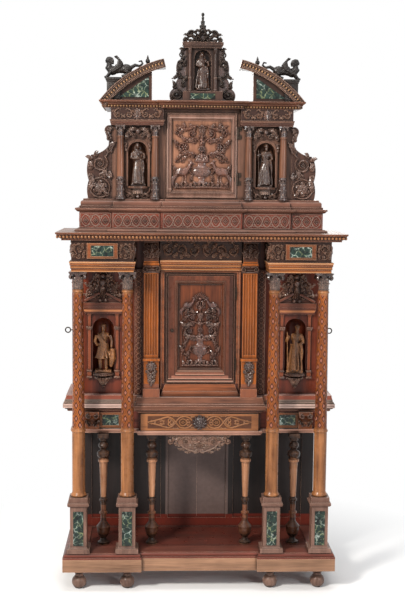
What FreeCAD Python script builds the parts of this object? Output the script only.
import FreeCAD
import Part
import math
import os

# A tall carved walnut cabinet on a columned stand.
# Millimetres. X runs to the right, Y to the back, Z up. The origin lies on the floor,
# under the middle of the whole object. Depths are counted backwards from the front
# face of the base, and y_at turns a depth into a Y.

# Heights of the stand and the main case, from the floor up
foot_height = 104.0
plinth_height = 64.0
deck_thickness = 29.0
pedestal_height = 282.0
shaft_height = 1039.0
capital_height = 87.0
architrave_height = 51.0
frieze_height = 102.0
cornice_height = 39.0
stage_clear_height = 577.0
stage_rail_height = 23.0
drawer_opening_height = 90.0
waist_lower_height = 42.0
waist_upper_height = 41.0

# Heights of the upper stage
fret_foot_height = 16.0
fret_height = 77.0
fret_cap_height = 22.0
upper_floor_height = 45.0
upper_case_height = 442.0
upper_cornice_height = 36.0

# Base
base_half = 682.0
base_depth = 500.0
base_board = 24.0
break_margin = 73.0
break_recess = 20.0
deck_step = 14.0
inlay_end_margin = 122.0
inlay_front_margin = 12.0
inlay_back_margin = 50.0
inlay_thickness = 12.0
inlay_drop = 4.0
inlay_gap = 0.3

# Feet
foot_radius = 36.0
foot_front = 75.0
foot_back_inset = 64.0
foot_block_half = 34.0

# Columns and their pedestals
column_end_inset = 78.0
column_bay_gap = 72.0
column_setback = 62.0
column_radius = 32.0
pedestal_half = 56.0
pedestal_marble_half = 24.5
pedestal_marble_low = 37.0
pedestal_marble_head = 71.0
marble_thickness = 7.0
marble_sink = 5.0
marble_gap = 0.3
bell_radius = 25.0
bell_flare = 9.0
abacus_half = 43.0
abacus_height = 13.0
abacus_hollow = 7.0
leaf_width = 15.0
leaf_reach = 9.0
leaf_count = 8
volute_radius = 10.0
volute_width = 14.0

# Entablature blocks over the column pairs
block_overhang = 30.0
block_front_overhang = 42.0
architrave_reach = 10.0
frame_half_width = 75.0
frame_half_height = 38.0
frame_border = 21.0
frame_border_height = 12.0
frame_thickness = 8.0

# Main cornice
cornice_end_step = 34.0
cornice_front_step = 18.0
cornice_reach = 27.0

# Main case
case_end_inset = 36.0
case_board = 18.0
bay_front = 228.0
case_back_thickness = 20.0
centre_share = 0.4252
face_front = 168.0
face_thickness = 20.0

# Drawer stage and waist
wing_front = 190.0
stage_end_inset = 6.0
stage_centre_step = 16.0
stage_centre_front = 136.0
rail_reach = 12.0
waist_end_step = 18.0
waist_reach = 26.0
stage_wall = 18.0
side_marble_offset = 38.0
side_marble_half = 42.0
side_marble_half_height = 27.0
console_gap = 2.0
console_width = 70.0
console_depth = 34.0
apron_half = 165.0
apron_drop = 92.0
apron_inset = 6.0
apron_thickness = 16.0

# Drawer
drawer_front_inset = 9.0
drawer_front_step = 8.0
drawer_front_thickness = 20.0
drawer_gap = 1.5
drawer_side_gap = 1.0
drawer_back_gap = 50.0
drawer_side = 12.0
drawer_bottom = 8.0
drawer_side_drop = 16.0
runner_inset = 22.0
runner_width = 16.0
runner_height = 5.0
slide_gap = 0.3
mask_half = 34.0
mask_depth = 22.0
guide_width = 3.0

# Balusters
baluster_centre_inset = 66.0
baluster_end_inset = 153.0
baluster_front_step = 4.0
baluster_radius = 34.0
baluster_abacus_half = 27.0
baluster_abacus_height = 22.0

# Panelled back of the stand
back_end_inset = 12.0
back_thickness = 22.0
back_stile = 65.0
back_muntin_inner = 156.0
back_muntin = 39.0
back_rail = 46.0
back_panel_inset = 6.0
back_panel_thickness = 10.0

# Centre door
door_shift = 1.0
door_gap = 1.5
door_low = 65.0
door_head_gap = 14.0
door_thickness = 32.0
door_swing_gap = 2.5
door_border = 71.0
door_panel_foot = 77.0
door_panel_head = 61.0
door_panel_thickness = 12.0
door_panel_depth = 16.0
door_knob_inset = 34.0
door_knob_rise = 335.0
knob_radius = 8.0
knob_length = 20.0

# Hinges
hinge_radius = 5.0
hinge_pin_radius = 2.5
hinge_pin_clearance = 0.05
knuckle_length = 20.0
knuckle_gap = 0.3
leaf_thickness = 3.0
hinge_leaf_width = 18.0
hinge_inset = 70.0

# Pilasters and centre frieze
pilaster_door_gap = 31.0
pilaster_end_gap = 3.0
pilaster_width = 80.0
pilaster_depth = 28.0
pilaster_block_step = 8.0
pilaster_plinth_height = 44.0
pilaster_block_height = 140.0
pilaster_ledge_height = 12.0
flute_radius = 5.0
flute_count = 5
flute_end = 14.0
pilaster_cap_height = 36.0
centre_frieze_depth = 16.0
strip_width = 40.0

# Side bays with their niches
niche_shift = 1.0
niche_half = 54.0
niche_low = 112.0
niche_spring = 336.0
niche_wall = 12.0
niche_pilaster_width = 20.0
niche_pilaster_gap = 6.0
niche_pilaster_depth = 14.0
niche_pilaster_drop = 30.0
niche_head = 24.0
bracket_radius = 52.0
bracket_drop = 78.0
niche_cap_half = 92.0
niche_cap_height = 56.0
niche_cap_reach = 8.0
niche_cap_depth = 22.0
crest_half = 84.0
crest_gap = 19.0
crest_thickness = 18.0
figure_height = 246.0
figure_radius = 38.0
figure_step = 6.0

# End doors and their ring pulls
end_front_stile = 24.5
end_back_stile = 25.5
end_rail = 40.0
end_door_gap = 1.5
ring_rise = 318.0
ring_inset = 23.0
ring_radius = 13.0
ring_wire = 3.0
ring_stem = 14.0
ring_plate_radius = 13.0
ring_plate_thickness = 3.0

# Shelf in the centre cupboard
shelf_rise = 385.0
shelf_thickness = 16.0
shelf_door_gap = 10.0

# Fretwork plinth of the upper stage, in three planes
scroll_margin = 36.0
fret_middle_step = 5.0
fret_centre_step = 23.0
fret_outer_front = 118.0
fret_middle_break = 14.0
fret_centre_break = 12.0
fret_board = 18.0
fret_back_inset = 12.0
fret_foot_reach = 22.0
fret_cap_reach = 20.0
upper_floor_step = 18.0

# Upper case
upper_half = 445.0
upper_front_inset = 50.0
upper_board = 18.0
upper_door_share = 0.3955
upper_head_rail = 15.0
upper_door_gap = 2.5
upper_door_thickness = 24.0
upper_door_border = 30.0
upper_panel_low = 44.0
upper_panel_head = 42.0
upper_panel_thickness = 10.0
upper_panel_depth = 10.0
upper_wall = 14.0

# Upper bays
small_column_door_gap = 54.0
small_column_end_inset = 45.0
small_column_radius = 19.0
small_column_gap = 1.0
upper_entablature_height = 83.0
upper_entablature_door_gap = 14.0
upper_entablature_step = 7.0
upper_entablature_depth = 38.0
upper_entablature_reach = 6.0
upper_niche_side_gap = 3.4
upper_niche_low = 62.0
upper_niche_spring = 232.0
upper_niche_wall = 10.0
upper_bracket_step = 2.0
upper_bracket_margin = 8.0
upper_figure_height = 212.0
upper_figure_share = 0.70
upper_figure_step = 6.0
archivolt_width = 11.0
archivolt_depth = 8.0

# Scroll brackets beside the upper case
scroll_width = 120.0
scroll_front_step = 4.0
scroll_thickness = 40.0

# Upper cornice
upper_cornice_step = 34.0
upper_cornice_front_step = 2.0
upper_cornice_break = 16.0
upper_cornice_reach = 24.0

# Broken segmental pediments
pediment_end_step = 21.0
pediment_inner_share = 0.427
pediment_rise = 200.0
pediment_sagitta = 31.0
pediment_band = 42.0
pediment_front_step = 12.0
pediment_depth = 110.0
tympanum_inset = 57.0
tympanum_set = 22.0
tympanum_thickness = 24.0
pediment_marble_margin = 16.0
pediment_marble_thickness = 4.0
sphinx_block_width = 66.0
sphinx_block_inset = 34.0
sphinx_block_height = 96.0
sphinx_block_setback = 10.0
sphinx_block_depth = 70.0
sphinx_cap_height = 14.0
sphinx_cap_reach = 6.0
sphinx_length = 180.0
sphinx_height = 98.0
sphinx_width = 44.0
sphinx_wing = 9.0
sphinx_head_radius = 16.0
small_finial_offset = 21.0
small_finial_radius = 12.0
small_finial_height = 50.0

# Central aedicule
aedicule_front_step = 4.0
aedicule_base_half = 96.0
aedicule_base_height = 47.0
aedicule_base_depth = 84.0
aedicule_half = 82.0
aedicule_body_height = 208.0
aedicule_body_depth = 56.0
aedicule_niche_half = 41.0
aedicule_niche_low = 8.0
aedicule_niche_head = 47.0
aedicule_niche_depth = 40.0
aedicule_column_x = 62.0
aedicule_column_radius = 10.0
aedicule_cap_half = 92.0
aedicule_cap_height = 28.0
aedicule_cap_reach = 8.0
aedicule_marble_half = 60.0
aedicule_marble_half_height = 13.0
aedicule_marble_thickness = 3.0
aedicule_scroll_width = 80.0
aedicule_scroll_thickness = 22.0
aedicule_figure_height = 182.0
aedicule_figure_radius = 30.0
crest_block_half = 70.0
crest_block_height = 52.0
finial_radius = 26.0
finial_height = 96.0

# One overrun serves every cut, and points nearer than this are one
overrun = 5.0
same_point = 1e-6

# Outlines: radius or reach first, then rise, as shares of the sizes they follow.
# Four numbers are an arc: its middle, then its end.
foot_shares = [(0.45, 0.0), (1.02, 0.31, 0.55, 0.62), (0.55, 0.70), (0.80, 0.84), (1.0, 0.88), (1.0, 1.0)]
pedestal_shares = [(1.0, 0.0), (1.0, 0.08), (0.80, 0.088, 0.73, 0.11), (0.73, 0.835), (0.90, 0.85, 0.95, 0.87),
                   (0.95, 0.90), (0.82, 0.915), (0.82, 1.0)]
column_shares = [(1.16, 0.0), (1.22, 0.007, 1.12, 0.014), (1.0, 0.022), (1.0, 0.314), (1.13, 0.321, 1.0, 0.328),
                 (0.97, 0.334), (0.79, 0.984), (0.90, 0.990, 0.79, 0.996), (0.79, 1.0)]
baluster_shares = [(0.86, 0.0), (0.86, 0.02), (0.50, 0.035), (0.42, 0.055), (0.78, 0.08, 1.0, 0.15), (1.05, 0.165),
                   (0.60, 0.20), (0.44, 0.215), (0.40, 0.28), (0.62, 0.285), (0.62, 0.30), (0.40, 0.31), (0.42, 0.40),
                   (0.62, 0.405), (0.62, 0.42), (0.42, 0.43), (0.62, 0.77), (0.80, 0.775), (0.80, 0.795), (0.60, 0.805),
                   (0.95, 0.84, 0.88, 0.865), (0.45, 0.885), (0.62, 0.895), (0.76, 0.925, 0.58, 0.95), (0.36, 0.965),
                   (0.62, 0.975), (0.62, 1.0)]
small_column_shares = [(1.15, 0.0), (1.15, 0.04), (0.95, 0.055), (1.0, 0.29), (1.12, 0.30), (1.12, 0.32),
                       (0.86, 0.33), (0.74, 0.87), (0.80, 0.88), (1.1, 0.96), (1.1, 1.0)]
deck_shares = [(0.0, 0.0), (0.0, 0.30), (-0.40, 0.30), (-0.40, 0.52), (-0.58, 0.78, -1.0, 0.90), (-1.0, 1.0)]
rail_shares = [(0.0, 0.0), (0.5, 0.12), (0.5, 0.35), (0.8, 0.50, 1.0, 0.75), (1.0, 1.0)]
waist_lower_shares = [(0.0, 0.0), (0.22, 0.10), (0.22, 0.28), (0.55, 0.34, 0.77, 0.50), (1.0, 0.50), (1.0, 1.0)]
waist_upper_shares = [(0.80, 0.0), (0.80, 0.20), (0.62, 0.22), (0.62, 0.40), (0.50, 0.62, 0.42, 0.85), (0.42, 1.0)]
cornice_shares = [(0.0, 0.0), (0.0, 0.22), (0.15, 0.22), (0.15, 0.36), (0.42, 0.42, 0.50, 0.60),
                  (0.70, 0.66, 0.93, 0.80), (1.0, 0.80), (1.0, 1.0)]
architrave_shares = [(0.1, 0.0), (0.1, 0.30), (0.45, 0.30), (0.45, 0.62), (0.75, 0.62), (0.75, 0.80),
                     (1.0, 0.86), (1.0, 1.0)]
cap_shares = [(0.0, 0.0), (0.0, 0.15), (0.55, 0.30, 0.80, 0.60), (1.0, 0.60), (1.0, 1.0)]
foot_moulding_shares = [(1.0, 0.0), (1.0, 0.45), (0.75, 0.75, 0.20, 1.0)]
step_shares = [(0.0, 0.0), (0.0, 0.24), (-0.33, 0.24), (-0.33, 0.50), (-0.5, 0.74, -0.85, 0.82), (-1.0, 0.82),
               (-1.0, 1.0)]
corbel_shares = [(0.0, 0.0), (0.14, 0.10, 0.06, 0.20), (0.30, 0.26), (0.34, 0.56, 0.72, 0.78), (1.0, 0.84), (1.0, 1.0)]
robe_shares = [(0.78, 0.0), (0.82, 0.05), (0.60, 0.36), (0.72, 0.50), (0.52, 0.60), (0.74, 0.73, 0.62, 0.81),
               (0.24, 0.845), (0.24, 0.91)]
finial_shares = [(0.80, 0.0), (1.0, 0.06), (1.0, 0.12), (0.55, 0.18), (0.66, 0.34), (0.34, 0.40), (0.42, 0.56),
                 (0.20, 0.60), (0.26, 0.76), (0.10, 0.80), (0.30, 0.90, 0.05, 1.0)]
small_finial_shares = [(1.0, 0.0), (1.0, 0.12), (0.45, 0.20), (0.95, 0.42, 0.35, 0.66), (0.5, 0.72), (0.1, 1.0)]

apron_shares = [(1.0, 0.0), (1.0, -0.18), (0.93, -0.42, 0.80, -0.30), (0.74, -0.62, 0.52, -0.66),
                (0.40, -0.62, 0.34, -0.80), (0.20, -0.98, 0.0, -1.0)]
apron_hole_shares = [(0.0, 0.15), (0.34, 0.13), (0.62, 0.12), (-0.34, 0.13), (-0.62, 0.12)]
console_shares = [(0.0, 0.0), (0.35, 0.0), (0.55, 0.22, 0.30, 0.40), (0.45, 0.62, 1.0, 0.80), (1.0, 1.0), (0.0, 1.0)]
mask_shares = [(0.0, -1.1, 0.3, -1.0), (0.8, -0.4, 1.0, 0.3), (0.7, 0.9, 0.0, 1.0), (-0.7, 0.9, -1.0, 0.3),
               (-0.8, -0.4, -0.3, -1.0)]
crest_shares = [(1.0, 0.0), (1.0, 0.10), (0.98, 0.30, 0.72, 0.32), (0.62, 0.46, 0.46, 0.52),
                (0.50, 0.70, 0.30, 0.66), (0.26, 0.56), (0.20, 0.56), (0.26, 0.80, 0.12, 0.92), (0.12, 1.0), (0.0, 1.0)]
scroll_shares = [(0.0, 0.0), (0.95, 0.0), (1.0, 0.12, 0.93, 0.25), (1.0, 0.42, 0.93, 0.54), (0.82, 0.60),
                 (0.46, 0.63, 0.17, 0.70), (0.08, 0.80, 0.15, 0.87), (0.28, 0.93, 0.11, 1.0), (0.0, 1.0)]
aedicule_scroll_shares = [(0.86, 0.0), (1.0, 0.11, 0.80, 0.23), (0.66, 0.28, 0.60, 0.37), (0.46, 0.45),
                          (0.60, 0.62, 0.50, 0.76), (0.34, 0.80, 0.24, 0.87), (0.34, 0.95, 0.15, 1.0), (0.0, 1.0)]
sphinx_body_shares = [(-0.08, 0.0), (-0.05, 0.14, -0.075, 0.30), (-0.15, 0.40, -0.25, 0.36), (-0.33, 0.38), (-0.48, 0.50),
                      (-0.66, 0.76, -0.84, 0.78), (-0.92, 0.78, -1.0, 0.86), (-1.0, 0.0)]
sphinx_wing_shares = [(-0.26, 0.20), (-0.30, 0.38), (-0.385, 0.64, -0.30, 0.93), (-0.315, 0.99, -0.37, 0.985),
                      (-0.49, 0.80, -0.53, 0.50), (-0.45, 0.20)]

knob_shares = [(0.55, 0.0), (0.55, 0.15), (0.40, 0.25), (0.40, 0.45), (1.0, 0.60, 0.75, 0.92), (0.0, 1.0)]
door_step_shares = [(0.17, 0.30), (0.52, 0.42), (0.72, 0.10), (0.80, 0.60)]
upper_step_shares = [(0.25, 0.35), (0.60, 0.15), (0.75, 0.70)]

# Levels that follow from the heights
plinth_z = foot_height
deck_z = plinth_z + plinth_height
floor_z = deck_z + deck_thickness
inlay_z = floor_z - inlay_drop
column_z = floor_z + pedestal_height
capital_z = column_z + shaft_height
architrave_z = capital_z + capital_height
frieze_z = architrave_z + architrave_height
cornice_z = frieze_z + frieze_height
crown_z = cornice_z + cornice_height
stage_z = inlay_z + stage_clear_height
drawer_z = stage_z + stage_rail_height
waist_z = drawer_z + drawer_opening_height
waist_upper_z = waist_z + waist_lower_height
case_z = waist_upper_z + waist_upper_height
fret_z = crown_z + fret_foot_height
fret_cap_z = fret_z + fret_height
upper_floor_z = fret_cap_z + fret_cap_height
upper_z = upper_floor_z + upper_floor_height
upper_cornice_z = upper_z + upper_case_height
top_z = upper_cornice_z + upper_cornice_height

# Widths, depths and rises that follow from the sizes above
column_outer_x = base_half - column_end_inset
centre_half = base_half * centre_share
column_inner_x = centre_half + column_bay_gap
break_half = column_inner_x - break_margin
inlay_half = base_half - inlay_end_margin
case_half = base_half - case_end_inset
stage_half = case_half - stage_end_inset
waist_half = case_half + waist_end_step
back_half = stage_half - back_end_inset
cornice_core_half = case_half + cornice_end_step
block_inner_x = column_inner_x - block_overhang
block_outer_x = column_outer_x + block_overhang
niche_x = (centre_half + strip_width + case_half) / 2 + niche_shift
stage_centre_half = centre_half + stage_centre_step
side_marble_x = niche_x - side_marble_offset
console_inner_x = side_marble_x + side_marble_half + frame_border_height + console_gap
console_outer_x = console_inner_x + console_width
baluster_outer_x = stage_half - baluster_end_inset
baluster_inner_x = stage_centre_half - baluster_centre_inset
drawer_front_half = stage_centre_half - drawer_front_inset
drawer_box_half = stage_centre_half - stage_wall - guide_width - drawer_side_gap
runner_inner_x = drawer_box_half - runner_inset
pilaster_outer_x = centre_half - pilaster_end_gap
pilaster_inner_x = pilaster_outer_x - pilaster_width
door_left_x = pilaster_inner_x - pilaster_door_gap
door_right_x = door_left_x + door_shift
door_panel_half = door_left_x - door_border
door_knob_x = door_left_x - door_knob_inset
upper_door_half = upper_half * upper_door_share
upper_cornice_half = upper_half + upper_cornice_step
upper_entablature_outer_x = upper_half + upper_entablature_step
upper_entablature_inner_x = upper_door_half + upper_entablature_door_gap
fret_outer_half = upper_half + scroll_width + scroll_margin
fret_middle_half = upper_half - fret_middle_step
fret_centre_half = upper_door_half + fret_centre_step
small_column_outer_x = upper_half - small_column_end_inset
small_column_inner_x = upper_door_half + small_column_door_gap
upper_niche_x = (small_column_inner_x + small_column_outer_x) / 2
small_column_reach = small_column_radius * small_column_shares[0][0]
upper_niche_half = upper_niche_x - small_column_inner_x - small_column_reach - archivolt_width - upper_niche_side_gap
upper_bracket_radius = upper_niche_half + upper_bracket_step
upper_figure_radius = upper_niche_half * upper_figure_share
upper_panel_half = upper_door_half - upper_door_border
upper_cornice_centre_half = fret_centre_half
pediment_outer_x = upper_cornice_half + pediment_end_step
pediment_inner_x = upper_half * pediment_inner_share
tympanum_inner_x = pediment_inner_x + tympanum_inset
sphinx_block_outer_x = pediment_outer_x - sphinx_block_inset
sphinx_block_inner_x = sphinx_block_outer_x - sphinx_block_width
small_finial_x = tympanum_inner_x + small_finial_offset
case_back_front = base_depth - case_back_thickness
fret_back = base_depth - fret_back_inset - fret_board
upper_back = fret_back
inlay_back = base_depth - inlay_back_margin
inlay_front = column_setback + pedestal_half + inlay_front_margin
foot_rear = base_depth - foot_back_inset
drawer_box_back = case_back_front - drawer_back_gap
back_front = case_back_front - back_thickness
end_door_back = case_back_front - end_back_stile - end_door_gap
end_door_front = bay_front + case_board + end_front_stile + door_swing_gap
ring_setback = end_door_front + ring_inset
shelf_front = face_front + door_thickness + shelf_door_gap
drawer_front_face = stage_centre_front - drawer_front_step
apron_front = stage_centre_front + apron_inset
baluster_setback = wing_front - baluster_front_step
block_front = column_setback - block_front_overhang
cornice_core_front = block_front - cornice_front_step
pilaster_front = face_front - pilaster_depth
centre_frieze_front = face_front - centre_frieze_depth
figure_setback = bay_front - figure_step
fret_middle_front = fret_outer_front - fret_middle_break
fret_centre_front = fret_middle_front - fret_centre_break
upper_front = fret_middle_front + upper_front_inset
upper_entablature_front = upper_front - upper_entablature_depth
upper_figure_setback = upper_front + upper_figure_step
scroll_front = upper_front - scroll_front_step
upper_cornice_front = upper_entablature_front - upper_cornice_front_step
upper_cornice_centre_front = upper_cornice_front - upper_cornice_break
pediment_front = upper_cornice_front - pediment_front_step
sphinx_block_front = pediment_front + sphinx_block_setback
aedicule_setback = upper_front - aedicule_front_step
upper_door_top = upper_case_height - upper_head_rail
upper_panel_high = upper_door_top - upper_panel_head
scroll_height = upper_case_height - upper_entablature_height
upper_bracket_drop = upper_niche_low - upper_bracket_margin
pedestal_marble_high = pedestal_height - pedestal_marble_head
aedicule_niche_spring = aedicule_body_height - aedicule_niche_head
drawer_side_height = drawer_opening_height - drawer_side_drop
niche_pilaster_top = niche_spring + niche_half + niche_head
door_high = architrave_z - case_z - door_head_gap
door_panel_low = door_low + door_panel_foot
door_panel_high = door_high - door_panel_head
crest_height = architrave_z - crest_gap - case_z - niche_pilaster_top - niche_cap_height

block_x = (block_inner_x + block_outer_x) / 2
block_frame_z = frieze_z + frieze_height / 2
column_front_depth = column_setback - pedestal_half

pieces = {}

# Small pieces that share a node with the pieces beside them
shared_nodes = {
    "foot_blocks": "base_plinth",
    "pedestal_marbles": "marble_insets",
    "frieze_marbles": "marble_insets",
    "pediment_marbles": "marble_insets",
    "aedicule_marble": "marble_insets",
    "corner_consoles": "frieze_trim",
    "frieze_frames": "frieze_trim",
    "side_friezes": "stage_walls",
    "drawer_runners": "stage_walls",
    "cupboard_shelf": "case_partitions",
    "face_frame": "case_frames",
    "end_frames": "case_frames",
    "centre_door_knob": "centre_door_hardware",
    "centre_door_knuckles": "centre_door_hardware",
    "niche_pilasters": "niche_surrounds",
    "niche_entablatures": "niche_surrounds",
    "niche_crests": "niche_surrounds",
    "niche_statuettes": "statuettes",
    "upper_statuettes": "statuettes",
    "aedicule_statuette": "statuettes",
    "end_knuckles_left": "ring_pull_left",
    "end_knuckles_right": "ring_pull_right",
    "fret_ends": "fret_panels",
    "fret_foot_moulding": "fret_mouldings",
    "fret_cap": "fret_mouldings",
    "archivolts": "upper_niche_trim",
    "upper_brackets": "upper_niche_trim",
    "raking_cornices": "pediments",
    "tympana": "pediments",
    "sphinx_blocks": "sphinxes",
    "small_finials": "finials",
    "finial": "finials",
    "aedicule_base": "aedicule",
    "aedicule_body": "aedicule",
    "aedicule_columns": "aedicule",
    "aedicule_cap": "aedicule",
    "aedicule_crest": "aedicule_scrolls",
}


def y_at(depth):
    return depth - (base_depth - cornice_reach + cornice_core_front) / 2


def one(shape):
    solids = shape.Solids
    if len(solids) != 1:
        raise ValueError("expected one solid, found %d" % len(solids))
    return solids[0]


def fused(first, others):
    return one(first.fuse(others).removeSplitter())


def board(x0, x1, depth0, depth1, z0, z1):
    return Part.makeBox(x1 - x0, depth1 - depth0, z1 - z0, FreeCAD.Vector(x0, y_at(depth0), z0))


def mirrored(shape):
    return one(shape.mirror(FreeCAD.Vector(0, 0, 0), FreeCAD.Vector(1, 0, 0)))


def both(shapes):
    return shapes + [mirrored(shape) for shape in shapes]


def scaled(shares, wide, high):
    factors = [wide, high, wide, high]
    return [tuple(share * factor for share, factor in zip(point, factors)) for point in shares]


# A face from an outline of corners (a, b) and arcs (middle a, middle b, end a, end b)
def outline_face(points, place):
    edges = []
    start = place(*points[0][-2:])
    for point in points[1:] + points[:1]:
        end = place(*point[-2:])
        if len(point) == 4:
            edges.append(Part.Arc(start, place(*point[:2]), end).toShape())
        elif not start.isEqual(end, same_point):
            edges.append(Part.LineSegment(start, end).toShape())
        start = end
    return Part.Face(Part.Wire(edges))


def cut_across(points, x0, x1):
    face = outline_face(points, lambda depth, z: FreeCAD.Vector(x0, y_at(depth), z))
    return face.extrude(FreeCAD.Vector(x1 - x0, 0, 0))


def cut_flat(points, depth0, depth1):
    face = outline_face(points, lambda x, z: FreeCAD.Vector(x, y_at(depth0), z))
    return face.extrude(FreeCAD.Vector(0, depth1 - depth0, 0))


def turned(points, x, depth, z):
    points = [(0.0, points[0][-1])] + points + [(0.0, points[-1][-1])]
    if points[1][0] == 0.0:
        points = points[1:]
    face = outline_face(points, lambda radius, rise: FreeCAD.Vector(x + radius, y_at(depth), z + rise))
    return one(face.revolve(FreeCAD.Vector(x, y_at(depth), 0), FreeCAD.Vector(0, 0, 1), 360))


# The outline read downwards, so that one list serves the left and the right side
def reversed_outline(points):
    result = [points[-1][-2:]]
    for index in range(len(points) - 1, 0, -1):
        end = points[index - 1][-2:]
        if len(points[index]) == 4:
            result.append(points[index][:2] + end)
        else:
            result.append(end)
    return result


def moved(points, a, b, sign):
    return [tuple(value * sign + a if index % 2 == 0 else value + b for index, value in enumerate(point))
            for point in points]


# A whole outline from its right half, whose last point lies on the middle line
def symmetric(right):
    left = [tuple(-value if index % 2 == 0 else value for index, value in enumerate(point))
            for point in reversed_outline(right)[1:]]
    return right + left


# A board whose moulded edge runs along the front and returns along its ends
def moulded(x0, x1, front, back, z, profile, left_end=True, right_end=True):
    reach = max(max(point[0::2]) for point in profile)
    reach = max(reach, 0.0)
    top = z + profile[-1][-1]
    low = z + profile[0][-1]
    side_view = moved(profile, front, z, -1) + [(back, top), (back, low)]
    along = cut_across(side_view, x0 - reach, x1 + reach)
    right = moved(profile, x1, z, 1) if right_end else [(x1, low), (x1, top)]
    left = moved(reversed_outline(profile), x0, z, -1) if left_end else [(x0, top), (x0, low)]
    across = cut_flat(right + left, front - reach, back)
    return one(along.common(across))


# A square post with its moulded profile on all four sides
def square_post(x, depth, z, profile):
    right = moved(profile, x, z, 1)
    left = moved(reversed_outline(profile), x, z, -1)
    near = moved(profile, depth, z, 1)
    far = moved(reversed_outline(profile), depth, z, -1)
    widest = max(max(point[0::2]) for point in profile)
    across = cut_flat(right + left, depth - widest, depth + widest)
    along = cut_across(near + far, x - widest, x + widest)
    return one(across.common(along))


# Moulded boards in several planes, each nearer plane narrower than the one behind
def stepped_slab(planes, back, z, profile):
    slabs = [moulded(-half, half, front, back, z, profile) for half, front in planes]
    return fused(slabs[0], slabs[1:])


def disc(x, depth, z, radius, length, direction):
    return Part.makeCylinder(radius, length, FreeCAD.Vector(x, y_at(depth), z), direction)


# An arch-headed recess that is half round in plan, as a tool to cut with
def niche_tool(x, face, board_thickness, half, low, spring):
    apse = face + board_thickness
    opening = board(x - half, x + half, face - overrun, apse, low, spring)
    arch = disc(x, face - overrun, spring, half, board_thickness + overrun, FreeCAD.Vector(0, 1, 0))
    shaft = disc(x, apse, low, half, spring - low, FreeCAD.Vector(0, 0, 1))
    dome = Part.makeSphere(half, FreeCAD.Vector(x, y_at(apse), spring))
    return opening.fuse([arch, shaft, dome])


def niche_bay(x0, x1, face, thickness, z0, z1, x, half, low, spring, wall):
    panel = board(x0, x1, face, face + thickness, z0, z1)
    hood = board(x - half - wall, x + half + wall, face + thickness, face + thickness + half + wall,
                 low - wall, spring + half + wall)
    return one(panel.fuse(hood).removeSplitter().cut(niche_tool(x, face, thickness, half, low, spring)))


# A standing robed figure, flattened a little from front to back
def figure(x, depth, z, height, radius, lean):
    body = turned(scaled(robe_shares, radius, height), 0.0, 0.0, 0.0)
    centre_y = y_at(0.0)
    head_radius = 0.07 * height
    head = Part.makeSphere(head_radius, FreeCAD.Vector(0, centre_y, height - head_radius))
    arms = []
    for side in (-1, 1):
        shoulder = FreeCAD.Vector(side * 0.56 * radius, centre_y, 0.77 * height)
        hand_rise = 0.92 * height if side == lean else 0.50 * height
        hand = FreeCAD.Vector(side * 0.86 * radius, centre_y - 0.35 * radius, hand_rise)
        arm = Part.makeCone(0.19 * radius, 0.12 * radius, (hand - shoulder).Length, shoulder, hand - shoulder)
        arms.append(arm)
    whole = fused(body, [head] + arms)
    flat = FreeCAD.Matrix()
    flat.scale(FreeCAD.Vector(1.0, 0.8, 1.0))
    whole.translate(FreeCAD.Vector(0, -centre_y, 0))
    whole = whole.transformGeometry(flat)
    whole.translate(FreeCAD.Vector(x, y_at(depth), z))
    return one(whole)


def half_turned(points, x, depth, z, radius):
    whole = turned(points, x, depth, z)
    rise = points[-1][-1]
    keep = board(x - radius - overrun, x + radius + overrun, depth - radius - overrun, depth,
                 z - overrun, z + rise + overrun)
    return one(whole.common(keep))


def inlay_frame(x, front, z, half, half_height, border, border_height, thickness):
    outer = board(x - half, x + half, front - thickness, front, z - half_height, z + half_height)
    inner = board(x - half + border, x + half - border, front - thickness - overrun, front + overrun,
                  z - half_height + border_height, z + half_height - border_height)
    return one(outer.cut(inner))


def make_base():
    wing = board(break_half, base_half, 0.0, base_board, plinth_z, deck_z)
    end = board(base_half - base_board, base_half, base_board, base_depth - base_board, plinth_z, deck_z)
    middle = board(-break_half, break_half, break_recess, break_recess + base_board, plinth_z, deck_z)
    rear = board(-base_half, base_half, base_depth - base_board, base_depth, plinth_z, deck_z)
    pieces["base_plinth"] = both([wing, end]) + [middle, rear]

    places = [(column_outer_x, foot_front), (column_inner_x, foot_front), (column_outer_x, foot_rear)]
    foot_profile = scaled(foot_shares, foot_radius, foot_height)
    feet = [turned(foot_profile, x, depth, 0.0) for x, depth in places]
    pieces["bun_feet"] = both(feet)
    blocks = [board(x - foot_block_half, x + foot_block_half, depth - foot_block_half,
                    depth + foot_block_half, plinth_z, deck_z) for x, depth in places]
    pieces["foot_blocks"] = both(blocks)

    profile = scaled(deck_shares, deck_step, deck_thickness)
    slab = moulded(-base_half, base_half, break_recess, base_depth, deck_z, profile)
    wing_slab = moulded(break_half, base_half, 0.0, column_front_depth + pedestal_half, deck_z, profile)
    deck = fused(slab, both([wing_slab]))
    recess = board(-inlay_half, inlay_half, inlay_front, inlay_back, inlay_z - inlay_thickness, floor_z + overrun)
    pieces["base_deck"] = [one(deck.cut(recess))]
    pieces["stage_floor"] = [board(-inlay_half + inlay_gap, inlay_half - inlay_gap, inlay_front + inlay_gap,
                                   inlay_back - inlay_gap, inlay_z - inlay_thickness, inlay_z)]


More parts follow.
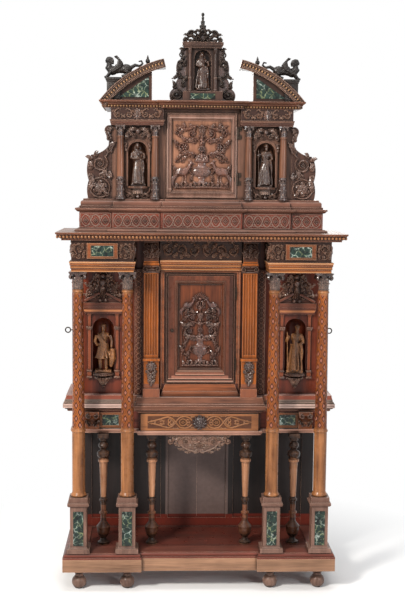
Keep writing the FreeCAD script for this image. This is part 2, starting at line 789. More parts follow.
def capital(x):
    height = capital_height - abacus_height
    flare = bell_radius + bell_flare
    bell = turned([(bell_radius, 0.0), (bell_radius, height / 2), (bell_radius * 1.08, height * 0.85, flare, height)],
                  x, column_setback, capital_z)
    abacus_z = capital_z + height
    abacus = board(x - abacus_half, x + abacus_half, column_setback - abacus_half, column_setback + abacus_half,
                   abacus_z, architrave_z)
    hollow_radius = (abacus_half ** 2 + abacus_hollow ** 2) / (2 * abacus_hollow)
    for angle in range(0, 360, 90):
        direction = FreeCAD.Vector(math.cos(math.radians(angle)), math.sin(math.radians(angle)), 0)
        centre = FreeCAD.Vector(x, y_at(column_setback), abacus_z - overrun)
        centre += direction * (abacus_half - abacus_hollow + hollow_radius)
        abacus = abacus.cut(Part.makeCylinder(hollow_radius, abacus_height + 2 * overrun, centre))
    corner = (abacus_half - volute_radius / 2) * math.sqrt(2) - volute_radius
    extras = []
    for step in range(leaf_count):
        angle = 360.0 * step / leaf_count
        tall = step % 2 == 1
        leaf_top = height * (0.72 if tall else 0.46)
        inner = bell_radius * 0.8
        outer = bell_radius + leaf_reach * (1.1 if tall else 0.9)
        face = outline_face(
            [(inner, 0.0), (bell_radius + leaf_reach * 0.3, 0.0),
             (bell_radius + leaf_reach * 0.25, leaf_top * 0.55, outer, leaf_top * 0.86),
             (outer * 0.985, leaf_top, bell_radius, leaf_top), (inner, leaf_top)],
            lambda radius, rise: FreeCAD.Vector(x + radius, y_at(column_setback) - leaf_width / 2, capital_z + rise))
        leaf = face.extrude(FreeCAD.Vector(0, leaf_width, 0))
        leaf.rotate(FreeCAD.Vector(x, y_at(column_setback), 0), FreeCAD.Vector(0, 0, 1), angle)
        extras.append(leaf)
    for step in range(4):
        volute = Part.makeCylinder(volute_radius, volute_width,
                                   FreeCAD.Vector(x + corner, y_at(column_setback) + volute_width / 2,
                                                  abacus_z - volute_radius * 0.8), FreeCAD.Vector(0, -1, 0))
        volute.rotate(FreeCAD.Vector(x, y_at(column_setback), 0), FreeCAD.Vector(0, 0, 1), 45 + 90 * step)
        extras.append(volute)
    return fused(bell, [abacus] + extras)


def make_columns():
    pedestal_profile = scaled(pedestal_shares, pedestal_half, pedestal_height)
    column_profile = scaled(column_shares, column_radius, shaft_height)
    die_front = column_setback - pedestal_half * pedestal_shares[3][0]
    marble_box = (die_front + marble_sink - marble_thickness, die_front + marble_sink)
    marbles = []
    capitals = []
    posts = []
    columns = []
    for x in (column_outer_x, column_inner_x):
        post = square_post(x, column_setback, floor_z, pedestal_profile)
        pocket = board(x - pedestal_marble_half - marble_gap, x + pedestal_marble_half + marble_gap,
                       die_front - overrun, die_front + marble_sink,
                       floor_z + pedestal_marble_low - marble_gap, floor_z + pedestal_marble_high + marble_gap)
        posts.append(one(post.cut(pocket)))
        marbles.append(board(x - pedestal_marble_half, x + pedestal_marble_half, marble_box[0], marble_box[1],
                             floor_z + pedestal_marble_low, floor_z + pedestal_marble_high))
        columns.append(turned(column_profile, x, column_setback, column_z))
        capitals.append(capital(x))
    pieces["pedestals"] = both(posts)
    pieces["pedestal_marbles"] = both(marbles)
    pieces["outer_columns"] = both(columns[:1])
    pieces["inner_columns"] = both(columns[1:])
    pieces["column_capitals"] = both(capitals)


def make_entablature():
    profile = scaled(architrave_shares, architrave_reach, architrave_height)
    profile += [(0.0, architrave_height), (0.0, architrave_height + frieze_height)]
    pieces["entablature_blocks"] = both([moulded(block_inner_x, block_outer_x, block_front, bay_front,
                                                 architrave_z, profile)])
    frame = inlay_frame(block_x, block_front, block_frame_z, frame_half_width, frame_half_height,
                        frame_border, frame_border_height, frame_thickness)
    marble = board(block_x - frame_half_width + frame_border + marble_gap,
                   block_x + frame_half_width - frame_border - marble_gap,
                   block_front - frame_thickness / 2, block_front,
                   block_frame_z - frame_half_height + frame_border_height + marble_gap,
                   block_frame_z + frame_half_height - frame_border_height - marble_gap)
    frieze_middle = (drawer_z + waist_z) / 2
    side_frame = inlay_frame(side_marble_x, wing_front, frieze_middle, side_marble_half + frame_border_height,
                             side_marble_half_height + frame_border_height, frame_border_height,
                             frame_border_height, frame_thickness)
    side_marble = board(side_marble_x - side_marble_half + marble_gap, side_marble_x + side_marble_half - marble_gap,
                        wing_front - frame_thickness / 2, wing_front,
                        frieze_middle - side_marble_half_height + marble_gap,
                        frieze_middle + side_marble_half_height - marble_gap)
    pieces["frieze_frames"] = both([frame, side_frame])
    pieces["frieze_marbles"] = both([marble, side_marble])
    pieces["main_cornice"] = [moulded(-cornice_core_half, cornice_core_half, cornice_core_front, base_depth,
                                      cornice_z, scaled(cornice_shares, cornice_reach, cornice_height))]


def make_stage():
    planes = [(stage_half, wing_front), (stage_centre_half, stage_centre_front)]
    pieces["stage_rail"] = [stepped_slab(planes, case_back_front, stage_z,
                                         scaled(rail_shares, rail_reach, stage_rail_height))]
    planes = [(waist_half, wing_front), (stage_centre_half, stage_centre_front)]
    pieces["waist_moulding"] = [stepped_slab(planes, base_depth, waist_z,
                                             scaled(waist_lower_shares, waist_reach, waist_lower_height))]
    pieces["case_floor"] = [stepped_slab(planes, base_depth, waist_upper_z,
                                         scaled(waist_upper_shares, waist_reach, waist_upper_height))]
    wall_front = drawer_front_face + drawer_front_thickness + slide_gap
    wall = board(stage_centre_half - stage_wall, stage_centre_half, wall_front, case_back_front, drawer_z, waist_z)
    face = board(stage_centre_half, stage_half, wing_front, wing_front + stage_wall, drawer_z, waist_z)
    end = board(stage_half - stage_wall, stage_half, wing_front + stage_wall, case_back_front, drawer_z, waist_z)
    rear = board(-stage_half, stage_half, case_back_front, base_depth, stage_z, waist_z)
    pieces["stage_walls"] = both([wall, end]) + [rear]
    pieces["side_friezes"] = both([face])
    profile = moved(scaled(console_shares, -console_depth, waist_z - drawer_z), wing_front, drawer_z, 1)
    pieces["corner_consoles"] = both([cut_across(profile, console_inner_x, console_outer_x)])
    outline = moved(symmetric(scaled(apron_shares, apron_half, apron_drop)), 0.0, stage_z, 1)
    apron = cut_flat(outline, apron_front, apron_front + apron_thickness)
    hole_z = stage_z - apron_drop * 0.36
    for x_share, radius_share in apron_hole_shares:
        hole = disc(apron_half * x_share, apron_front - overrun, hole_z, apron_drop * radius_share,
                    apron_thickness + 2 * overrun, FreeCAD.Vector(0, 1, 0))
        apron = apron.cut(hole)
    pieces["apron"] = [one(apron)]


def make_drawer():
    z0 = drawer_z + runner_height + slide_gap
    front_back = drawer_front_face + drawer_front_thickness
    pieces["drawer_front"] = [board(-drawer_front_half, drawer_front_half, drawer_front_face, front_back,
                                    drawer_z + drawer_gap, waist_z - drawer_gap)]
    outer = board(-drawer_box_half, drawer_box_half, front_back, drawer_box_back, z0, z0 + drawer_side_height)
    inner = board(-drawer_box_half + drawer_side, drawer_box_half - drawer_side, front_back + drawer_side,
                  drawer_box_back - drawer_side, z0 + drawer_bottom, z0 + drawer_side_height + overrun)
    pieces["drawer_box"] = [one(outer.cut(inner))]
    middle = (drawer_z + waist_z) / 2
    rise = drawer_opening_height * 0.38
    mask = cut_flat(moved(scaled(mask_shares, mask_half, rise), 0.0, middle, 1),
                    drawer_front_face - mask_depth * 0.4, drawer_front_face)
    nose = Part.makeCone(mask_half * 0.34, mask_half * 0.16, mask_depth * 0.6,
                         FreeCAD.Vector(0, y_at(drawer_front_face - mask_depth * 0.4), middle - rise * 0.1),
                         FreeCAD.Vector(0, -1, 0))
    pieces["drawer_mask"] = [fused(mask, [nose])]
    inner_wall = stage_centre_half - stage_wall
    runner_front = front_back + drawer_side
    runner = board(runner_inner_x, runner_inner_x + runner_width, runner_front, case_back_front,
                   drawer_z, drawer_z + runner_height)
    guide = board(inner_wall - guide_width, inner_wall, runner_front, case_back_front, drawer_z, z0 + drawer_bottom)
    pieces["drawer_runners"] = both([runner, guide])


def make_balusters():
    height = stage_z - inlay_z
    profile = scaled(baluster_shares, baluster_radius, height - baluster_abacus_height)
    balusters = []
    for x in (baluster_outer_x, baluster_inner_x):
        spindle = turned(profile, x, baluster_setback, inlay_z)
        abacus = board(x - baluster_abacus_half, x + baluster_abacus_half, baluster_setback - baluster_abacus_half,
                       baluster_setback + baluster_abacus_half, stage_z - baluster_abacus_height, stage_z)
        balusters.append(fused(spindle, [abacus]))
    pieces["balusters"] = both(balusters)


def make_stand_back():
    low = floor_z
    high = stage_z
    back = case_back_front
    muntin_outer = back_muntin_inner + back_muntin
    stile_inner = back_half - back_stile
    stile = board(stile_inner, back_half, back_front, back, low, high)
    muntin = board(back_muntin_inner, muntin_outer, back_front, back, low + back_rail, high - back_rail)
    rails = [board(-stile_inner, stile_inner, back_front, back, low, low + back_rail),
             board(-stile_inner, stile_inner, back_front, back, high - back_rail, high)]
    pieces["stand_back_frame"] = both([stile, muntin]) + rails
    panel_front = back_front + back_panel_inset
    panel_back = panel_front + back_panel_thickness
    centre = board(0.0, back_muntin_inner, panel_front, panel_back, low + back_rail, high - back_rail)
    side = board(muntin_outer, stile_inner, panel_front, panel_back, low + back_rail, high - back_rail)
    pieces["stand_back_panels"] = both([centre, side])


def make_case():
    bay_back = bay_front + case_board
    face_back = face_front + face_thickness
    opening_left = door_left_x + door_swing_gap
    opening_right = door_right_x + door_swing_gap
    low = case_z + door_low - door_gap
    high = case_z + door_high + door_gap
    pieces["face_frame"] = [board(-centre_half, -opening_left, face_front, face_back, case_z, cornice_z),
                            board(opening_right, centre_half, face_front, face_back, case_z, cornice_z),
                            board(-opening_left, opening_right, face_front, face_back, case_z, low),
                            board(-opening_left, opening_right, face_front, face_back, high, cornice_z)]
    partition = board(centre_half - case_board, centre_half, face_back, case_back_front, case_z, cornice_z)
    pieces["case_partitions"] = both([partition])
    bay = niche_bay(centre_half, case_half, bay_front, case_board, case_z, cornice_z, niche_x, niche_half,
                    case_z + niche_low, case_z + niche_spring, niche_wall)
    pieces["niche_bays"] = both([bay])
    inner = case_half - case_board
    front_stile = board(inner, case_half, bay_back, end_door_front - door_swing_gap, case_z, cornice_z)
    rear_stile = board(inner, case_half, end_door_back + end_door_gap, case_back_front, case_z, cornice_z)
    door_low_z = case_z + end_rail
    door_high_z = cornice_z - end_rail
    rail_front = end_door_front - door_swing_gap
    rail_back = end_door_back + end_door_gap
    rails = [board(inner, case_half, rail_front, rail_back, case_z, door_low_z - end_door_gap),
             board(inner, case_half, rail_front, rail_back, door_high_z + end_door_gap, cornice_z)]
    pieces["end_frames"] = both([front_stile, rear_stile] + rails)
    stile = board(case_half - back_stile, case_half, case_back_front, base_depth, case_z, cornice_z)
    muntin = board(centre_half - case_board, centre_half - case_board + back_muntin, case_back_front, base_depth,
                   case_z + back_rail, cornice_z - back_rail)
    rail_half = case_half - back_stile
    rear_rails = [board(-rail_half, rail_half, case_back_front, base_depth, case_z, case_z + back_rail),
                  board(-rail_half, rail_half, case_back_front, base_depth, cornice_z - back_rail, cornice_z)]
    pieces["case_back_frame"] = both([stile, muntin]) + rear_rails
    panel_front = case_back_front
    panel_back = case_back_front + back_panel_thickness
    centre = board(-centre_half + case_board, centre_half - case_board, panel_front, panel_back,
                   case_z + back_rail, cornice_z - back_rail)
    side = board(centre_half - case_board + back_muntin, rail_half, panel_front, panel_back,
                 case_z + back_rail, cornice_z - back_rail)
    pieces["case_back_panels"] = both([side]) + [centre]
    strip = board(centre_half, centre_half + strip_width, wing_front, bay_front, case_z, architrave_z)
    pieces["carved_strips"] = both([strip])
    pieces["cupboard_shelf"] = [board(-centre_half + case_board, centre_half - case_board, shelf_front,
                                      case_back_front, case_z + shelf_rise, case_z + shelf_rise + shelf_thickness)]


def hinge_set(x, depth, lows, leaf_side, leaf_back):
    # Fixed parts: two outer knuckles on one pin, with a leaf on the frame.
    # Moving part: the middle knuckle, bored for the pin, with a leaf on the door.
    fixed = []
    moving = []
    up = FreeCAD.Vector(0, 0, 1)
    for low in lows:
        middle_low = low + knuckle_length + knuckle_gap
        middle_length = knuckle_length - 2 * knuckle_gap
        high = low + 2 * knuckle_length
        pin = disc(x, depth, low, hinge_pin_radius, 3 * knuckle_length, up)
        fixed_leaf_low = hinge_leaf(x, leaf_side, leaf_back, low, knuckle_length)
        fixed_leaf_high = hinge_leaf(x, leaf_side, leaf_back, high, knuckle_length)
        knuckles = [disc(x, depth, low, hinge_radius, knuckle_length, up),
                    disc(x, depth, high, hinge_radius, knuckle_length, up)]
        fixed.append(fused(pin, knuckles + [fixed_leaf_low, fixed_leaf_high]))
        barrel = disc(x, depth, middle_low, hinge_radius, middle_length, up)
        leaf = hinge_leaf(x, -leaf_side, leaf_back, middle_low, middle_length)
        bore = disc(x, depth, middle_low - overrun, hinge_pin_radius + hinge_pin_clearance,
                    middle_length + 2 * overrun, up)
        moving.append(one(barrel.fuse(leaf).cut(bore)))
    return fixed, moving


def hinge_leaf(x, side, back, low, length):
    x0, x1 = sorted((x, x + side * hinge_leaf_width))
    return board(x0, x1, back - leaf_thickness, back, low, low + length)


# A door frame whose rings step back one behind the other towards its panel
def stepped_frame(left, right, low, high, front, thickness, panel, panel_depth, shares):
    panel_half, panel_low, panel_high = panel
    frame = board(left, right, front, front + thickness, low, high)
    for inset_share, depth_share in shares:
        x0 = left + (-panel_half - left) * inset_share
        x1 = right + (panel_half - right) * inset_share
        z0 = low + (panel_low - low) * inset_share
        z1 = high + (panel_high - high) * inset_share
        frame = frame.cut(board(x0, x1, front - overrun, front + panel_depth * depth_share, z0, z1))
    through = board(-panel_half, panel_half, front - overrun, front + thickness + overrun, panel_low, panel_high)
    return one(frame.cut(through))


def make_centre_door():
    low = case_z + door_low
    high = case_z + door_high
    panel = (door_panel_half, case_z + door_panel_low, case_z + door_panel_high)
    pieces["centre_door_frame"] = [stepped_frame(-door_left_x, door_right_x, low, high, face_front, door_thickness,
                                                 panel, door_panel_depth, door_step_shares)]
    panel_front = face_front + door_panel_depth
    pieces["centre_door_panel"] = [board(-door_panel_half, door_panel_half, panel_front,
                                         panel_front + door_panel_thickness, panel[1], panel[2])]
    pieces["centre_door_knob"] = [knob(-door_knob_x, face_front + door_panel_depth * door_step_shares[0][1],
                                       case_z + door_knob_rise)]
    x = door_right_x + door_swing_gap / 2
    depth = face_front - hinge_radius
    lows = [low + hinge_inset, high - hinge_inset - 3 * knuckle_length]
    fixed, moving = hinge_set(x, depth, lows, 1, face_front)
    pieces["centre_door_knuckles"] = moving
    return fixed


def knob(x, depth, z):
    profile = scaled(knob_shares, knob_radius, knob_length)
    whole = turned(profile, 0.0, 0.0, 0.0)
    whole.translate(FreeCAD.Vector(0, -y_at(0.0), 0))
    whole.rotate(FreeCAD.Vector(0, 0, 0), FreeCAD.Vector(1, 0, 0), 90)
    whole.translate(FreeCAD.Vector(x, y_at(depth), z))
    return whole


def make_centre_front():
    block_front_face = pilaster_front - pilaster_block_step
    ledge_front = block_front_face - pilaster_block_step
    z1 = case_z + pilaster_plinth_height
    z2 = z1 + pilaster_block_height
    z3 = z2 + pilaster_ledge_height
    z4 = architrave_z
    inset = pilaster_block_step / 2
    plinth = board(pilaster_inner_x - inset, pilaster_outer_x, ledge_front, face_front, case_z, z1)
    block = board(pilaster_inner_x, pilaster_outer_x - inset, block_front_face, face_front, z1, z2)
    ledge = board(pilaster_inner_x - inset, pilaster_outer_x, ledge_front, face_front, z2, z3)
    shaft = board(pilaster_inner_x + inset, pilaster_outer_x - inset, pilaster_front, face_front, z3, z4)
    width = pilaster_outer_x - pilaster_inner_x - 2 * inset
    pitch = width / (flute_count + 0.5)
    for index in range(flute_count):
        x = pilaster_inner_x + inset + pitch * (index + 0.75)
        flute_low = z3 + flute_end + flute_radius
        flute_high = z4 - flute_end - flute_radius
        groove = disc(x, pilaster_front, flute_low, flute_radius, flute_high - flute_low, FreeCAD.Vector(0, 0, 1))
        shaft = shaft.cut(groove)
    cap = moulded(pilaster_inner_x + inset, pilaster_outer_x - inset, pilaster_front, face_front, z4,
                  scaled(cap_shares, inset, pilaster_cap_height))
    console_low = z4 + pilaster_cap_height
    console_high = cornice_z
    drop = console_high - console_low
    console = cut_across([(face_front, console_low), (pilaster_front, console_low),
                          (block_front_face, console_low + drop * 0.22, pilaster_front, console_low + drop * 0.42),
                          (pilaster_front - inset, console_low + drop * 0.66,
                           ledge_front, console_low + drop * 0.86),
                          (ledge_front, console_high), (face_front, console_high)],
                         pilaster_inner_x + inset, pilaster_outer_x - inset)
    pieces["centre_pilasters"] = both([fused(plinth, [block, ledge, one(shaft), cap, console])])
    face_x = pilaster_inner_x - inset
    profile = scaled(architrave_shares, architrave_reach, architrave_height)
    profile += [(0.0, architrave_height), (0.0, architrave_height + frieze_height)]
    pieces["centre_frieze"] = [moulded(-face_x, face_x, centre_frieze_front, face_front, architrave_z, profile,
                                       left_end=False, right_end=False)]


def make_side_bays():
    sill_z = case_z + niche_low
    half_pilaster = niche_pilaster_width / 2
    offset = niche_half + niche_pilaster_gap + half_pilaster
    front = bay_front - niche_pilaster_depth
    foot_z = sill_z - niche_pilaster_drop
    pilasters = []
    for side in (-1, 1):
        x = niche_x + side * offset
        shaft = board(x - half_pilaster * 0.7, x + half_pilaster * 0.7, front + niche_pilaster_depth * 0.3,
                      bay_front, foot_z, case_z + niche_pilaster_top)
        foot = board(x - half_pilaster, x + half_pilaster, front, bay_front, foot_z, foot_z + 2 * niche_pilaster_width)
        head = board(x - half_pilaster, x + half_pilaster, front, bay_front,
                     case_z + niche_pilaster_top - half_pilaster, case_z + niche_pilaster_top)
        pilasters.append(fused(shaft, [foot, head]))
    pieces["niche_pilasters"] = both(pilasters)
    bracket = half_turned(scaled(corbel_shares, bracket_radius, bracket_drop), niche_x, bay_front,
                          sill_z - bracket_drop, bracket_radius)
    pieces["niche_brackets"] = both([bracket])
    cap_z = case_z + niche_pilaster_top
    cap = moulded(niche_x - niche_cap_half, niche_x + niche_cap_half, bay_front - niche_cap_depth, bay_front, cap_z,
                  scaled(cap_shares, niche_cap_reach, niche_cap_height))
    pieces["niche_entablatures"] = both([cap])
    outline = moved(symmetric(scaled(crest_shares, crest_half, crest_height)), niche_x, cap_z + niche_cap_height, 1)
    crest = cut_flat(outline, bay_front - crest_thickness, bay_front)
    pieces["niche_crests"] = both([one(crest)])
    pieces["niche_statuettes"] = [figure(-niche_x, figure_setback, sill_z, figure_height, figure_radius, 0),
                                  figure(niche_x, figure_setback, sill_z, figure_height, figure_radius, 1)]


def make_end_doors():
    low = case_z + end_rail
    high = cornice_z - end_rail
    inner = case_half - case_board
    leaf = board(inner, case_half, end_door_front, end_door_back, low, high)
    field_border = end_rail
    recess = board(case_half - case_board / 3, case_half + overrun, end_door_front + field_border,
                   end_door_back - field_border, low + field_border, high - field_border)
    leaf = one(leaf.cut(recess))
    x = case_half + hinge_radius
    depth = end_door_back + end_door_gap / 2
    fixed = []
    moving = []
    up = FreeCAD.Vector(0, 0, 1)
    for z in (low + hinge_inset, high - hinge_inset - 3 * knuckle_length):
        pin = disc(x, depth, z, hinge_pin_radius, 3 * knuckle_length, up)
        middle_low = z + knuckle_length + knuckle_gap
        middle_length = knuckle_length - 2 * knuckle_gap
        solids = [pin]
        for knuckle_z in (z, z + 2 * knuckle_length):
            solids.append(disc(x, depth, knuckle_z, hinge_radius, knuckle_length, up))
            solids.append(board(case_half, case_half + leaf_thickness, depth, depth + hinge_leaf_width,
                                knuckle_z, knuckle_z + knuckle_length))
        fixed.append(fused(solids[0], solids[1:]))
        barrel = disc(x, depth, middle_low, hinge_radius, middle_length, up)
        strap = board(case_half, case_half + leaf_thickness, depth - hinge_leaf_width, depth,
                      middle_low, middle_low + middle_length)
        bore = disc(x, depth, middle_low - overrun, hinge_pin_radius + hinge_pin_clearance,
                    middle_length + 2 * overrun, up)
        moving.append(one(barrel.fuse(strap).cut(bore)))
    z = case_z + ring_rise
    plate = disc(case_half, ring_setback, z, ring_plate_radius, ring_plate_thickness, FreeCAD.Vector(1, 0, 0))
    stem = disc(case_half, ring_setback, z, ring_wire, ring_stem + ring_wire, FreeCAD.Vector(1, 0, 0))
    ring_x = case_half + ring_stem + ring_radius
    ring = Part.makeTorus(ring_radius, ring_wire, FreeCAD.Vector(ring_x, y_at(ring_setback), z),
                          FreeCAD.Vector(0, 1, 0))
    pull = fused(plate, [stem, ring])
    pieces["end_door_right"] = [leaf]
    pieces["end_door_left"] = [mirrored(leaf)]
    pieces["ring_pull_right"] = [pull]
    pieces["ring_pull_left"] = [mirrored(pull)]
    pieces["end_knuckles_right"] = moving
    pieces["end_knuckles_left"] = [mirrored(solid) for solid in moving]
    return both(fixed)


def make_upper_plinth():
    planes = [(fret_outer_half, fret_outer_front), (fret_middle_half, fret_middle_front),
              (fret_centre_half, fret_centre_front)]
    pieces["fret_foot_moulding"] = [stepped_slab(planes, fret_back + fret_board, crown_z,
                                                 scaled(foot_moulding_shares, fret_foot_reach, fret_foot_height))]
    outer = board(fret_middle_half, fret_outer_half, fret_outer_front, fret_outer_front + fret_board,
                  fret_z, fret_cap_z)
    middle = board(fret_centre_half, fret_middle_half, fret_middle_front, fret_middle_front + fret_board,
                   fret_z, fret_cap_z)
    end = board(fret_outer_half - fret_board, fret_outer_half, fret_outer_front + fret_board, fret_back,
                fret_z, fret_cap_z)
    centre = board(-fret_centre_half, fret_centre_half, fret_centre_front, fret_centre_front + fret_board,
                   fret_z, fret_cap_z)
    rear = board(-fret_outer_half, fret_outer_half, fret_back, fret_back + fret_board, fret_z, fret_cap_z)
    pieces["fret_panels"] = both([outer, middle]) + [centre]
    pieces["fret_ends"] = both([end]) + [rear]
    pieces["fret_cap"] = [stepped_slab(planes, fret_back + fret_board, fret_cap_z,
                                       scaled(cap_shares, fret_cap_reach, fret_cap_height))]
    pieces["upper_floor"] = [stepped_slab(planes, fret_back + fret_board, upper_floor_z,
                                          scaled(step_shares, upper_floor_step, upper_floor_height))]


def make_upper_case():
    bay_back = upper_front + upper_board
    opening = upper_door_half + upper_door_gap
    bay = niche_bay(opening, upper_half, upper_front, upper_board, upper_z, upper_cornice_z, upper_niche_x,
                    upper_niche_half, upper_z + upper_niche_low, upper_z + upper_niche_spring, upper_niche_wall)
    pieces["upper_bays"] = both([bay])
    side = board(upper_half - upper_board, upper_half, bay_back, upper_back, upper_z, upper_cornice_z)
    wall = board(opening, opening + upper_wall, bay_back, upper_back - upper_board, upper_z, upper_cornice_z)
    rear = board(-upper_half + upper_board, upper_half - upper_board, upper_back - upper_board, upper_back,
                 upper_z, upper_cornice_z)
    rail = board(-opening, opening, upper_front, bay_back, upper_z + upper_door_top + door_gap, upper_cornice_z)
    pieces["upper_case_walls"] = both([side, wall]) + [rear, rail]

    low = upper_z + door_gap
    high = upper_z + upper_door_top
    panel = (upper_panel_half, upper_z + upper_panel_low, upper_z + upper_panel_high)
    pieces["upper_door_frame"] = [stepped_frame(-upper_door_half, upper_door_half, low, high, upper_front,
                                                upper_door_thickness, panel, upper_panel_depth, upper_step_shares)]
    panel_front = upper_front + upper_panel_depth
    pieces["upper_door_panel"] = [board(-upper_panel_half, upper_panel_half, panel_front,
                                        panel_front + upper_panel_thickness, panel[1], panel[2])]
    x = upper_door_half + upper_door_gap / 2
    lows = [low + hinge_inset, high - hinge_inset - 3 * knuckle_length]
    fixed, moving = hinge_set(x, upper_front - hinge_radius, lows, 1, upper_front)
    pieces["upper_door_knuckles"] = moving
    return fixed


def make_upper_bays():
    depth = upper_front - small_column_reach - small_column_gap
    height = upper_cornice_z - upper_entablature_height - upper_z
    profile = scaled(small_column_shares, small_column_radius, height)
    columns = [turned(profile, x, depth, upper_z) for x in (small_column_inner_x, small_column_outer_x)]
    pieces["small_columns"] = both(columns)
    architrave = scaled(architrave_shares, upper_entablature_reach, upper_entablature_height / 3)
    architrave += [(0.0, upper_entablature_height / 3), (0.0, upper_entablature_height)]
    block = moulded(upper_entablature_inner_x, upper_entablature_outer_x - upper_entablature_reach,
                    upper_entablature_front, upper_front, upper_cornice_z - upper_entablature_height, architrave)
    pieces["upper_entablatures"] = both([block])
    sill_z = upper_z + upper_niche_low
    bracket = half_turned(scaled(corbel_shares, upper_bracket_radius, upper_bracket_drop), upper_niche_x,
                          upper_front, sill_z - upper_bracket_drop, upper_bracket_radius)
    pieces["upper_brackets"] = both([bracket])
    spring = upper_z + upper_niche_spring
    outer_half = upper_niche_half + archivolt_width
    front = upper_front - archivolt_depth
    arch = cut_flat([(upper_niche_x - outer_half, sill_z), (upper_niche_x - outer_half, spring),
                     (upper_niche_x, spring + outer_half, upper_niche_x + outer_half, spring),
                     (upper_niche_x + outer_half, sill_z), (upper_niche_x + upper_niche_half, sill_z),
                     (upper_niche_x + upper_niche_half, spring),
                     (upper_niche_x, spring + upper_niche_half, upper_niche_x - upper_niche_half, spring),
                     (upper_niche_x - upper_niche_half, sill_z)], front, upper_front)
    pieces["archivolts"] = both([one(arch)])
    pieces["upper_statuettes"] = [figure(-upper_niche_x, upper_figure_setback, sill_z, upper_figure_height,
                                         upper_figure_radius, 1),
                                  figure(upper_niche_x, upper_figure_setback, sill_z, upper_figure_height,
                                         upper_figure_radius, 0)]


def make_scroll_brackets():
    outline = moved(scaled(scroll_shares, scroll_width, scroll_height), upper_half, upper_z, 1)
    bracket = cut_flat(outline, scroll_front, scroll_front + scroll_thickness)
    eye = disc(upper_half + scroll_width * 0.46, scroll_front - overrun, upper_z + scroll_height * 0.16,
               scroll_width * 0.15, scroll_thickness + 2 * overrun, FreeCAD.Vector(0, 1, 0))
    pieces["scroll_brackets"] = both([one(bracket.cut(eye))])


def arc_circle(x0, z0, x1, z1, sagitta):
    chord = math.hypot(x1 - x0, z1 - z0)
    radius = (chord ** 2 / 4 + sagitta ** 2) / (2 * sagitta)
    drop = radius - sagitta
    middle_x = (x0 + x1) / 2
    middle_z = (z0 + z1) / 2
    normal_x = -(z1 - z0) / chord
    normal_z = (x1 - x0) / chord
    if normal_z < 0:
        normal_x = -normal_x
        normal_z = -normal_z
    return middle_x - normal_x * drop, middle_z - normal_z * drop, radius


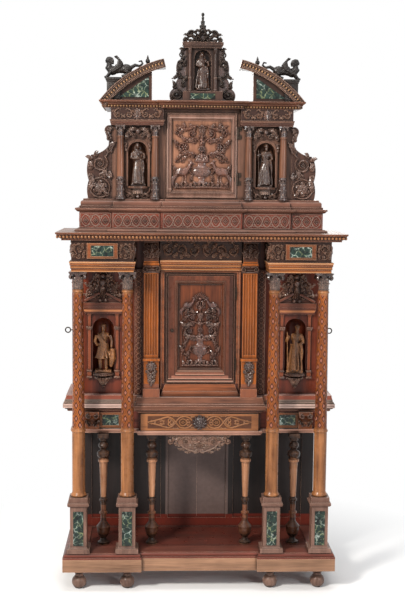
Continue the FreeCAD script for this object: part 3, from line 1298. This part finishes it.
def make_crown():
    planes = [(upper_cornice_half, upper_cornice_front), (upper_cornice_centre_half, upper_cornice_centre_front)]
    pieces["upper_cornice"] = [stepped_slab(planes, fret_back, upper_cornice_z,
                                            scaled(cornice_shares, upper_cornice_reach, upper_cornice_height))]
    x0, z0, x1, z1 = pediment_outer_x, top_z, pediment_inner_x, top_z + pediment_rise
    centre_x, centre_z, radius = arc_circle(x0, z0, x1, z1, pediment_sagitta)
    pole = FreeCAD.Vector(0, 1, 0)
    depth1 = pediment_front + pediment_depth
    solid_disc = disc(centre_x, pediment_front, centre_z, radius, pediment_depth, pole)
    inner_disc = disc(centre_x, pediment_front - overrun, centre_z, radius - pediment_band,
                      pediment_depth + 2 * overrun, pole)
    cut_dx = centre_x - x1
    cut_dz = centre_z - z1
    length = math.hypot(cut_dx, cut_dz)
    cut_x = x1 + cut_dx / length * pediment_band
    cut_z = z1 + cut_dz / length * pediment_band
    keep = cut_flat([(x0 + overrun, top_z), (x0 + overrun, z1 + pediment_band), (x1, z1 + pediment_band), (x1, z1),
                     (cut_x, cut_z), (tympanum_inner_x, cut_z - overrun), (tympanum_inner_x, top_z)],
                    pediment_front, depth1)
    band = one(solid_disc.cut(inner_disc).common(keep))
    pieces["raking_cornices"] = both([band])
    tympanum_front = pediment_front + tympanum_set
    under = disc(centre_x, tympanum_front, centre_z, radius - pediment_band, tympanum_thickness, pole)
    field = cut_flat([(x0, top_z), (x0, z1), (tympanum_inner_x, z1), (tympanum_inner_x, top_z)],
                     tympanum_front, tympanum_front + tympanum_thickness)
    field = one(field.common(under))
    pieces["tympana"] = both([field])
    margin = pediment_marble_margin
    marble_low = top_z + margin
    marble_inner = tympanum_inner_x + margin
    marble_high = centre_z + math.sqrt((radius - pediment_band - margin) ** 2 - (marble_inner - centre_x) ** 2)
    marble_outer = centre_x + math.sqrt((radius - pediment_band - margin) ** 2 - (marble_low - centre_z) ** 2)
    marble = cut_flat([(marble_inner, marble_low), (marble_outer, marble_low), (marble_inner, marble_high)],
                      tympanum_front - pediment_marble_thickness, tympanum_front)
    pieces["pediment_marbles"] = both([marble])

    block_z = top_z + sphinx_block_height
    block = board(sphinx_block_inner_x, sphinx_block_outer_x, sphinx_block_front,
                  sphinx_block_front + sphinx_block_depth, top_z, block_z)
    whole_disc = disc(centre_x, pediment_front - overrun, centre_z, radius, pediment_depth + 2 * overrun, pole)
    block = one(block.cut(whole_disc))
    cap = board(sphinx_block_inner_x - sphinx_cap_reach, sphinx_block_outer_x + sphinx_cap_reach,
                sphinx_block_front - sphinx_cap_reach, sphinx_block_front + sphinx_block_depth + sphinx_cap_reach,
                block_z, block_z + sphinx_cap_height)
    cap = one(cap.cut(whole_disc))
    pieces["sphinx_blocks"] = both([fused(block, [cap])])
    sphinx_z = block_z + sphinx_cap_height
    depth = sphinx_block_front + sphinx_block_depth / 2
    outline = moved(scaled(sphinx_body_shares, sphinx_length, sphinx_height), sphinx_block_outer_x, sphinx_z, 1)
    body = cut_flat(outline, depth - sphinx_width / 2, depth + sphinx_width / 2)
    outline = moved(scaled(sphinx_wing_shares, sphinx_length, sphinx_height), sphinx_block_outer_x, sphinx_z, 1)
    wings = [cut_flat(outline, depth + side * sphinx_width / 2 - sphinx_wing / 2,
                      depth + side * sphinx_width / 2 + sphinx_wing / 2) for side in (-1, 1)]
    head_x = sphinx_block_outer_x - sphinx_length * 0.12
    head = Part.makeSphere(sphinx_head_radius, FreeCAD.Vector(head_x, y_at(depth), sphinx_z + sphinx_height * 0.62))
    neck = Part.makeCone(sphinx_head_radius, sphinx_head_radius * 0.6, sphinx_height * 0.35,
                         FreeCAD.Vector(head_x - sphinx_length * 0.02, y_at(depth), sphinx_z + sphinx_height * 0.22))
    sphinx = fused(body, wings + [head, neck])
    pieces["sphinxes"] = both([one(sphinx.cut(whole_disc).cut(fused(block, [cap])))])
    offset = small_finial_x - centre_x
    seat_z = centre_z + math.sqrt(radius ** 2 - (abs(offset) + small_finial_radius) ** 2)
    small = turned(scaled(small_finial_shares, small_finial_radius, small_finial_height), small_finial_x, depth, seat_z)
    pieces["small_finials"] = both([one(small.cut(whole_disc))])


def make_aedicule():
    depth0 = aedicule_setback - aedicule_base_depth / 2
    depth1 = aedicule_setback + aedicule_base_depth / 2
    base_z = top_z
    body_z = base_z + aedicule_base_height
    cap_z = body_z + aedicule_body_height
    pieces["aedicule_base"] = [board(-aedicule_base_half, aedicule_base_half, depth0, depth1, base_z, body_z)]
    middle = (base_z + body_z) / 2
    pieces["aedicule_marble"] = [board(-aedicule_marble_half, aedicule_marble_half,
                                       depth0 - aedicule_marble_thickness, depth0,
                                       middle - aedicule_marble_half_height, middle + aedicule_marble_half_height)]
    front = aedicule_setback
    body = board(-aedicule_half, aedicule_half, front, front + aedicule_body_depth, body_z, cap_z)
    low = body_z + aedicule_niche_low
    spring = body_z + aedicule_niche_spring
    hollow = board(-aedicule_niche_half, aedicule_niche_half, front - overrun, front + aedicule_niche_depth, low, spring)
    arch = disc(0.0, front - overrun, spring, aedicule_niche_half, aedicule_niche_depth + overrun,
                FreeCAD.Vector(0, 1, 0))
    pieces["aedicule_body"] = [one(body.cut(hollow).cut(arch))]
    column_depth = front - aedicule_column_radius * small_column_shares[0][0] - small_column_gap
    column = turned(scaled(small_column_shares, aedicule_column_radius, aedicule_body_height), aedicule_column_x,
                    column_depth, body_z)
    pieces["aedicule_columns"] = both([column])
    cap_front = column_depth - aedicule_column_radius * small_column_shares[0][0]
    pieces["aedicule_cap"] = [moulded(-aedicule_cap_half, aedicule_cap_half, cap_front, front + aedicule_body_depth,
                                      cap_z, scaled(cap_shares, aedicule_cap_reach, aedicule_cap_height))]
    foot_half = aedicule_base_half - aedicule_half
    outline = scaled(aedicule_scroll_shares, aedicule_scroll_width, cap_z - base_z)
    outline = [(foot_half, 0.0)] + outline + [(0.0, aedicule_base_height), (foot_half, aedicule_base_height)]
    scroll = cut_flat(moved(outline, aedicule_half, base_z, 1), front, front + aedicule_scroll_thickness)
    pieces["aedicule_scrolls"] = both([one(scroll)])
    pieces["aedicule_statuette"] = [figure(0.0, front + aedicule_niche_depth - aedicule_figure_radius, low,
                                           aedicule_figure_height, aedicule_figure_radius, 0)]
    crest_z = cap_z + aedicule_cap_height
    crest_depth = front + aedicule_body_depth / 2
    outline = moved(symmetric(scaled(crest_shares, crest_block_half, crest_block_height)), 0.0, crest_z, 1)
    thickness = finial_radius
    pieces["aedicule_crest"] = [one(cut_flat(outline, crest_depth - thickness / 2, crest_depth + thickness / 2))]
    finial = turned(scaled(finial_shares, finial_radius, finial_height), 0.0, crest_depth, crest_z + crest_block_height)
    pieces["finial"] = [finial]


make_base()
make_columns()
make_entablature()
make_stage()
make_drawer()
make_balusters()
make_stand_back()
make_case()
centre_hinges = make_centre_door()
make_centre_front()
make_side_bays()
end_hinges = make_end_doors()
make_upper_plinth()
upper_hinges = make_upper_case()
make_upper_bays()
make_scroll_brackets()
make_crown()
make_aedicule()
pieces["hinge_plates"] = centre_hinges + upper_hinges + end_hinges

nodes = {}
for name, solids in pieces.items():
    nodes.setdefault(shared_nodes.get(name, name), []).extend(solids)

os.makedirs("parts", exist_ok=True)
for node, solids in nodes.items():
    shape = solids[0] if len(solids) == 1 else Part.makeCompound(solids)
    shape.exportStep("parts/" + node + ".step")
print(len(nodes), "nodes,", sum(len(solids) for solids in nodes.values()), "solids")
